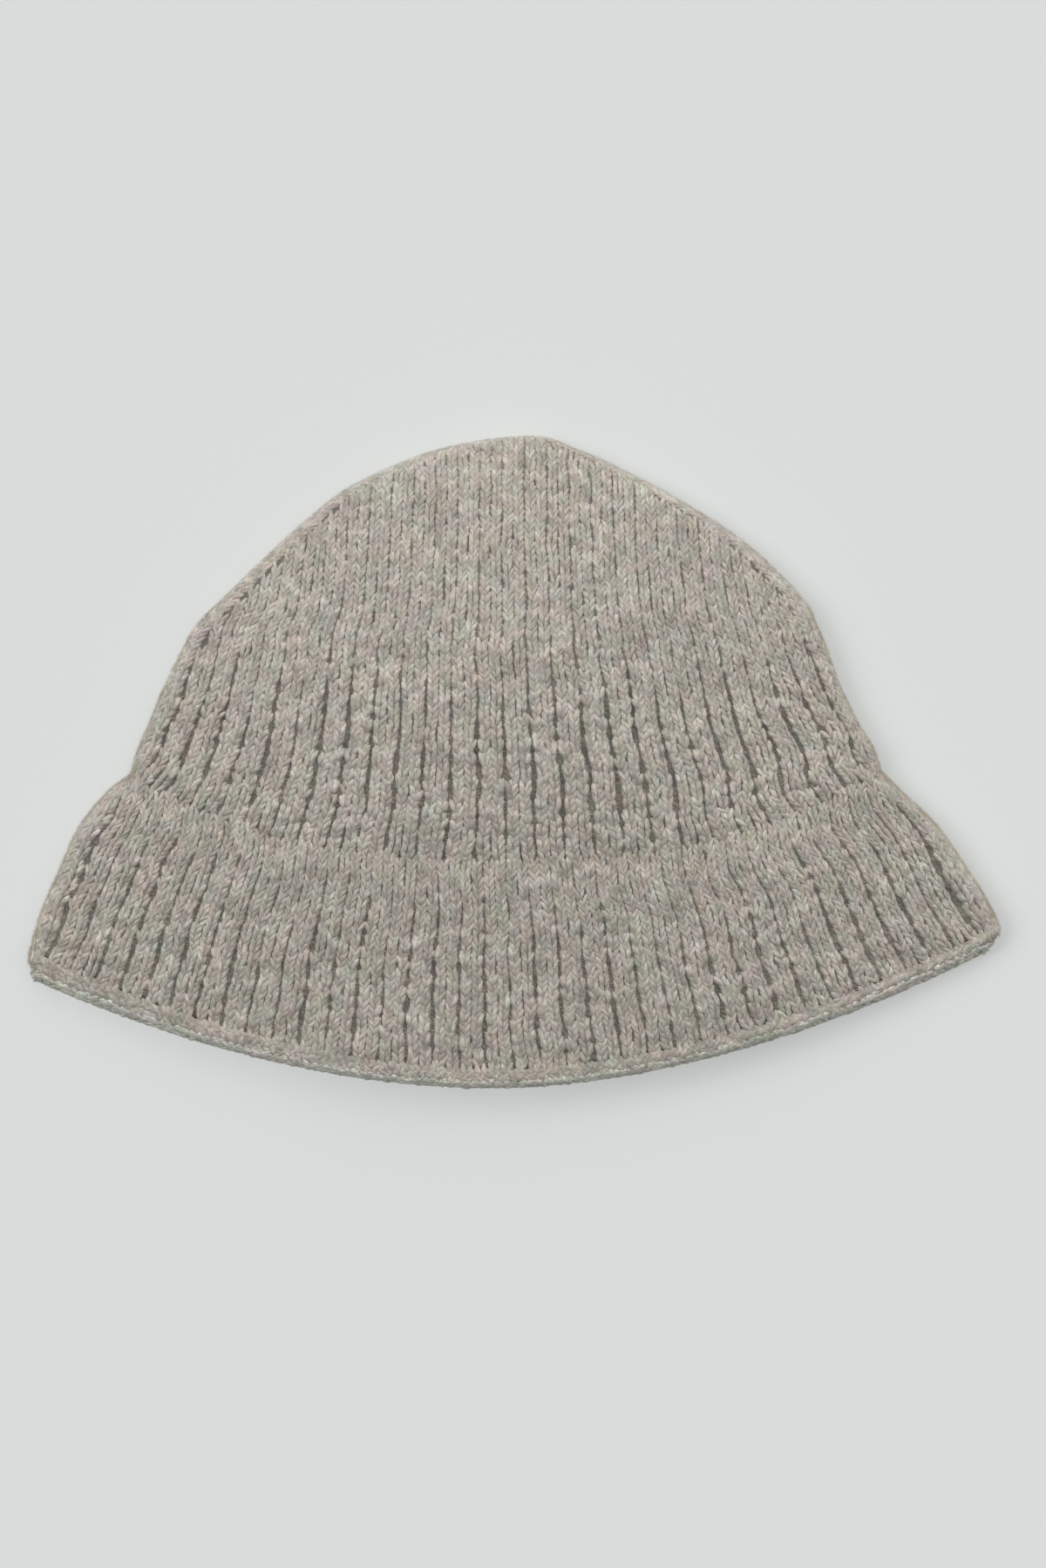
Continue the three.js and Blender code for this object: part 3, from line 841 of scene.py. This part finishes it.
# Patches of one tint or the other: scale, seed and the tints, and those of dark or light
TINT_PATCHES = ((130, 3.0, "olive", "rose"), (150, 7.0, "straw", "slate"))
SHADE_PATCHES = (90, 11.0)
PATCH_BLEND = (0.36, 0.64)  # of the noise, over which one tint turns into the other


def node(tree, kind, inputs=(), **settings):
    """A shader node with its settings, its values and its links."""
    made = tree.nodes.new(kind)
    for key, value in settings.items():
        setattr(made, key, value)
    for key, value in dict(inputs).items():
        if isinstance(value, bpy.types.NodeSocket):
            tree.links.new(value, made.inputs[key])
        else:
            made.inputs[key].default_value = value
    return made


def patched(tree, colour, place, scale, seed, tints):
    """A colour with one tint or another in soft patches."""
    patches = node(tree, "ShaderNodeTexNoise", {
        "Vector": place, "Scale": scale, "Detail": 4.0, "Roughness": 0.7, "W": seed},
        noise_dimensions="4D").outputs[0]
    share = node(tree, "ShaderNodeMapRange", {
        "Value": patches, "From Min": PATCH_BLEND[0], "From Max": PATCH_BLEND[1]}).outputs[0]
    tint = node(tree, "ShaderNodeMix", {
        "Factor": share, 6: (*tints[0], 1), 7: (*tints[1], 1)}, data_type="RGBA").outputs[2]
    return node(tree, "ShaderNodeMix", {
        "Factor": 1.0, 6: colour, 7: tint}, data_type="RGBA", blend_type="MULTIPLY").outputs[2]


def wool(name, shade, tone):
    """Melange wool: patches of beige and grey, fine fibres, and a shade of each stitch's own."""
    colours = bpy.context.scene.hat.wool
    shades = [[c * t * shade for c, t in zip(fibres, tone)]
              for fibres in (colours.dark, colours.middle, colours.light)]
    material = bpy.data.materials.new(name)
    material.use_nodes = True
    tree = material.node_tree
    shader = tree.nodes["Principled BSDF"]
    place = node(tree, "ShaderNodeTexCoord").outputs["Object"]
    yarn_place = node(tree, "ShaderNodeUVMap", uv_map="YarnUV").outputs[0]
    patches = node(tree, "ShaderNodeTexNoise", {
        "Vector": place, "Scale": PATCH_SCALE, "Detail": 4.0, "Roughness": 0.7}).outputs[0]
    strands = node(tree, "ShaderNodeMapping", {
        "Vector": yarn_place, "Rotation": (0, 0, STRAND_TURN), "Scale": STRAND_SCALE})
    fibres = node(tree, "ShaderNodeTexNoise", {
        "Vector": strands.outputs[0], "Scale": 1.0, "Detail": 3.0, "Roughness": 0.7}).outputs[0]
    own = node(tree, "ShaderNodeAttribute", attribute_name="melange").outputs["Fac"]
    mixed = node(tree, "ShaderNodeMath", {0: patches, 1: PATCH_SHARE}, operation="MULTIPLY")
    mixed = node(tree, "ShaderNodeMath", {0: fibres, 1: STRAND_SHARE, 2: mixed.outputs[0]},
                 operation="MULTIPLY_ADD")
    mixed = node(tree, "ShaderNodeMath", {0: own, 1: OWN_SHARE, 2: mixed.outputs[0]},
                 operation="MULTIPLY_ADD")
    ramp = node(tree, "ShaderNodeValToRGB", {"Fac": mixed.outputs[0]})
    stops = ramp.color_ramp.elements
    stops[0].position, stops[1].position = DARK_STOP, LIGHT_STOP
    stops.new(MIDDLE_STOP)
    for stop, shaded in zip(stops, shades):
        stop.color = (*shaded, 1)
    colour = ramp.outputs[0]
    for scale, seed, *tints in TINT_PATCHES:
        colour = patched(tree, colour, place, scale, seed, [getattr(colours, t) for t in tints])
    dark, light = [1 - colours.patch_contrast] * 3, [1 + colours.patch_contrast] * 3
    colour = patched(tree, colour, place, *SHADE_PATCHES, (dark, light))
    tree.links.new(colour, shader.inputs["Base Color"])
    shader.inputs["Roughness"].default_value = 0.92
    shader.inputs["Specular IOR Level"].default_value = 0.2
    shader.inputs["Sheen Weight"].default_value = 0.55
    shader.inputs["Sheen Roughness"].default_value = 0.45
    bump = node(tree, "ShaderNodeBump", {
        "Height": fibres, "Strength": 0.7, "Distance": 0.3 * MM})
    tree.links.new(bump.outputs[0], shader.inputs["Normal"])
    return material


# Hem

HEM_MIDDLE = (HEM_TOP + HEM_EDGE) / 2
HEM_HALF_HEIGHT = 0.47  # rows of BRIM_COURSES
HEM_DEPTH = 2.2  # inset of the middle of the bound hem
HEM_HALF_DEPTH = 1.3
HEM_POINTS = 150  # points of the band along each layer
HEM_TURNS = 10  # points of the band round its section


def hem_surface(travel_share, front, turn):
    """Points of the rolled hem. turn runs round its section, 0 at the free edge and a quarter at
    the outside."""
    place = HEM_MIDDLE + HEM_HALF_HEIGHT * np.cos(turn)
    inset = HEM_DEPTH - HEM_HALF_DEPTH * np.sin(turn)
    s = BRIM.section(place)
    return BRIM.surface(s, travel_share * s["width"], front, inset)


# Rows of strokes on the bound hem: turn round its section and lean, in degrees, and spacing
HEM_FACE_ROWS = ((150, -50, 2.3), (122, 48, 2.3), (96, -40, 2.3))
HEM_EDGE_ROWS = ((66, 14, 2.8), (34, -10, 2.8), (2, 8, 2.8), (-32, -8, 3.2))
HEM_STROKE = np.array([1.15, 0.83, 1.0])  # width, length and depth beside those of a leg
STROKE_SINK = 0.35  # how far a stroke is sunk into the band
SPACING_SPREAD = 0.3
TURN_SPREAD, STROKE_LEAN_SPREAD = 0.12, 0.3  # radians
STROKE_SPREAD = 0.12  # of a stroke's own size
SHARE_STEP, TURN_STEP = 0.0008, 0.1  # each way, over which a stroke's directions are taken


def hem_legs(stroke_rows, seed):
    """Frames of the strokes of the bound hem."""
    rng = np.random.default_rng(seed)
    rows = []
    for turn, lean, pitch in stroke_rows:
        turn, lean = math.radians(turn), math.radians(lean)
        for front in (True, False):
            share = np.linspace(0, 1, 1200)
            length = lengths_along(hem_surface(share, front, np.full(len(share), turn)))
            stops = np.arange(pitch / 2, length[-1], pitch)
            stops = stops + rng.normal(0, SPACING_SPREAD, len(stops))
            shares = np.interp(stops, length, share)
            turns = turn + rng.normal(0, TURN_SPREAD, len(shares))
            leans = lean + rng.normal(0, STROKE_LEAN_SPREAD, len(shares))
            rows.append(np.stack(np.broadcast_arrays(shares, front, turns, leans), axis=1))
    share, front, turn, lean = np.concatenate(rows).T
    front = front > 0.5
    origin = hem_surface(share, front, turn)
    before, after = (hem_surface(share + step, front, turn) for step in (-SHARE_STEP, SHARE_STEP))
    below, above = (hem_surface(share, front, turn + step) for step in (-TURN_STEP, TURN_STEP))
    along, up = unit(after - before), unit(above - below)
    outwards = np.where(front, 1, -1)[:, None]
    normal = unit(np.cross(along, up)) * outwards
    across = np.cross(along, normal)
    angle = lean[:, None]
    turned_along = along * np.cos(angle) + up * np.sin(angle)
    turned_across = np.cross(turned_along, normal)
    scale = HEM_STROKE * (1 + rng.normal(0, STROKE_SPREAD, (len(share), 3)))
    return origin - normal * STROKE_SINK, turned_across, turned_along, normal, scale


# Operators

class HAT_OT_crown_wall(bpy.types.Operator):
    """Lay the wall of the crown, closed at the top and open at the seam"""
    bl_idname = "hat.crown_wall"
    bl_label = "Crown wall"

    def execute(self, context):
        outer = [ring(CROWN, p, WALL_INSET) for p in np.linspace(0, CROWN.last - CROWN_END, 44)]
        inner = [ring(CROWN, p, KNIT_WALL, False) for p in np.linspace(CROWN_LINING_END, 0, 16)]
        wall = wrapped_grid(np.array([pole(inner[0]), *inner, *outer, pole(outer[-1])]))
        # The crown's wall takes a dark copy of the wool, painted shade between the stitches
        finish_piece(wall, "crown_wall", "Crown wool, painted shade")
        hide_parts("crown")
        return {"FINISHED"}


class HAT_OT_brim_wall(bpy.types.Operator):
    """Lay the wall of the brim, open at the seam and at the hem"""
    bl_idname = "hat.brim_wall"
    bl_label = "Brim wall"

    def execute(self, context):
        outer = [ring(BRIM, p, WALL_INSET) for p in np.linspace(HEM_TOP, 0, 26)]
        inner = [ring(BRIM, p, KNIT_WALL, False) for p in np.linspace(0, HEM_TOP, 8)]
        wall = wrapped_grid(np.array([*outer, *inner, outer[0]]))
        # The brim's wall takes a dark copy of the wool, painted shade between the stitches
        finish_piece(wall, "brim_wall", "Brim wool, painted shade")
        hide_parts("brim")
        return {"FINISHED"}


class HAT_OT_stitches(bpy.types.Operator):
    """Knit the stitches of the crown and the brim on both layers"""
    bl_idname = "hat.stitches"
    bl_label = "Stitches"

    def execute(self, context):
        fine = take_mesh(leg_template(segments=6, rings=4))
        plain = take_mesh(leg_template(segments=4, rings=3))
        seed = FIRST_STITCH_SEED
        for panel, part in ((CROWN, "crown"), (BRIM, "brim")):
            wales = wales_of(panel, with_folds=True)
            half = len(wales) // 2
            runs = (("front_left", True, wales[:half], fine),
                    ("front_right", True, wales[half:], fine),
                    ("back", False, wales_of(panel, with_folds=False), plain))
            for label, front, chosen, template in runs:
                seed += 1
                frames = stitch_legs(panel, front, chosen, seed)
                if (part, label) == ("crown", "back"):
                    frames = [np.concatenate(both) for both in zip(frames, tip_legs())]
                name = f"{part}_stitches_{label}"
                piece = copied(name, template, frames, seed)
                # The brim's wool is a darker copy of the crown's, a painted shade
                finish_piece(piece, name, f"{part.title()} wool")
        return {"FINISHED"}


class HAT_OT_fuzz(bpy.types.Operator):
    """Let loose fibres stand off the brushed wool"""
    bl_idname = "hat.fuzz"
    bl_label = "Loose fibres"

    def execute(self, context):
        template = take_mesh(fibre_template())
        for panel, part, count, seed in FIBRES:
            piece = copied(f"{part}_fibres", template, fibre_frames(panel, count, seed), seed)
            # The fibres take a light, warm copy of the wool, a painted highlight
            finish_piece(piece, f"{part}_fibres", "Loose wool, painted highlight")
        return {"FINISHED"}


class HAT_OT_hem(bpy.types.Operator):
    """Bind the hem with a rolled band and its slanted strokes"""
    bl_idname = "hat.hem"
    bl_label = "Bound hem"

    def execute(self, context):
        share = np.arange(HEM_POINTS) / HEM_POINTS
        shares = np.concatenate([share, 1 - share])
        front = np.arange(2 * HEM_POINTS) < HEM_POINTS
        turns = np.linspace(0, 2 * math.pi, HEM_TURNS + 1)[:-1]
        rows = [hem_surface(shares, front, np.full(len(front), turn)) for turn in turns]
        wall = wrapped_grid(np.array([*rows, rows[0]]))
        # The band takes a darker copy of the wool, painted shade between the strokes
        finish_piece(wall, "hem_band", "Hem wool, painted shade")
        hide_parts("hem_edge")
        stroke = take_mesh(leg_template(segments=4, rings=4))
        face = copied("hem_strokes", stroke, hem_legs(HEM_FACE_ROWS, seed=61), seed=62)
        finish_piece(face, "hem_strokes", "Hem wool")
        edge = copied("hem_edge_strokes", stroke, hem_legs(HEM_EDGE_ROWS, seed=63), seed=64)
        # The edge strokes take a lighter greenish copy of the wool, painted floor light
        finish_piece(edge, "hem_edge_strokes", "Hem edge wool, painted floor light")
        return {"FINISHED"}


# Soft studio lights: name, energy, angle of its disc, direction, colour, whether it casts shadows
LIGHTS = (
    ("window", 0.88, 38, (1.0, -0.22, -1.0), (1.0, 1.0, 1.0), True),
    ("fill_from_top", 1.68, 60, (0.0, -1.5, -1.0), (1.0, 0.985, 0.975), False),
    ("fill_from_right", 0.72, 60, (-0.8, -0.3, -1.0), (1.0, 1.0, 1.0), False),
)
SKY = (0.97, 1.0, 1.0)
SKY_STRENGTH = 0.22
FLOOR_SIZE = 40.0  # in metres, past every view's edge
CAMERA_OVER = (3.2 * MM, -7.6 * MM)  # the point of the floor that the camera stands over


class HAT_OT_stage(bpy.types.Operator):
    """Set the pale floor, the soft lights and the camera above the hat"""
    bl_idname = "hat.stage"
    bl_label = "Stage"

    def execute(self, context):
        stage = context.scene.hat.stage
        deselect_all()
        bpy.ops.mesh.primitive_plane_add(size=FLOOR_SIZE, location=(0, 0, 0))
        floor = context.object
        floor.name = "floor"
        paint = bpy.data.materials.new("Pale floor")
        paint.use_nodes = True
        shader = paint.node_tree.nodes["Principled BSDF"]
        shader.inputs["Base Color"].default_value = (*stage.floor, 1)
        shader.inputs["Roughness"].default_value = 0.9
        shader.inputs["Specular IOR Level"].default_value = 0.0
        floor.data.materials.append(paint)

        for name, energy, angle, direction, colour, shadow in LIGHTS:
            bpy.ops.object.light_add(type="SUN")
            sun = context.object
            sun.name = name
            sun.data.energy = energy
            sun.data.color = colour
            sun.data.angle = math.radians(angle)
            sun.data.use_shadow = shadow
            sun.rotation_euler = Vector(direction).to_track_quat("-Z", "Y").to_euler()

        world = bpy.data.worlds.new("Studio")
        context.scene.world = world
        world.use_nodes = True
        sky = world.node_tree.nodes["Background"]
        sky.inputs["Color"].default_value = (*SKY, 1)
        sky.inputs["Strength"].default_value = SKY_STRENGTH

        bpy.ops.object.camera_add(location=(*CAMERA_OVER, stage.camera_height))
        camera = context.object
        camera.name = "camera"
        camera.rotation_euler = (0, 0, 0)
        camera.data.lens = camera.data.sensor_width * stage.camera_height / stage.frame_height
        context.scene.camera = camera
        context.scene.view_settings.view_transform = "Standard"
        return {"FINISHED"}


class HAT_PT_panel(bpy.types.Panel):
    """Lists the steps of the hat in the sidebar"""
    bl_idname = "HAT_PT_panel"
    bl_label = "Knit hat"
    bl_space_type = "VIEW_3D"
    bl_region_type = "UI"
    bl_category = "Knit hat"

    def draw(self, context):
        for step in STEPS:
            self.layout.operator(step.bl_idname)


STEPS = (HAT_OT_crown_wall, HAT_OT_brim_wall, HAT_OT_stitches, HAT_OT_hem, HAT_OT_fuzz,
         HAT_OT_stage)
CLASSES = (YarnSettings, WoolSettings, StageSettings, HatSettings, *STEPS, HAT_PT_panel)


def register():
    for cls in CLASSES:
        bpy.utils.register_class(cls)
    bpy.types.Scene.hat = PointerProperty(type=HatSettings)


def unregister():
    del bpy.types.Scene.hat
    for cls in reversed(CLASSES):
        bpy.utils.unregister_class(cls)


def main():
    register()
    bpy.ops.hat.crown_wall()
    bpy.ops.hat.brim_wall()
    bpy.ops.hat.stitches()
    bpy.ops.hat.hem()
    bpy.ops.hat.fuzz()
    bpy.ops.hat.stage()


if __name__ == "__main__":
    main()
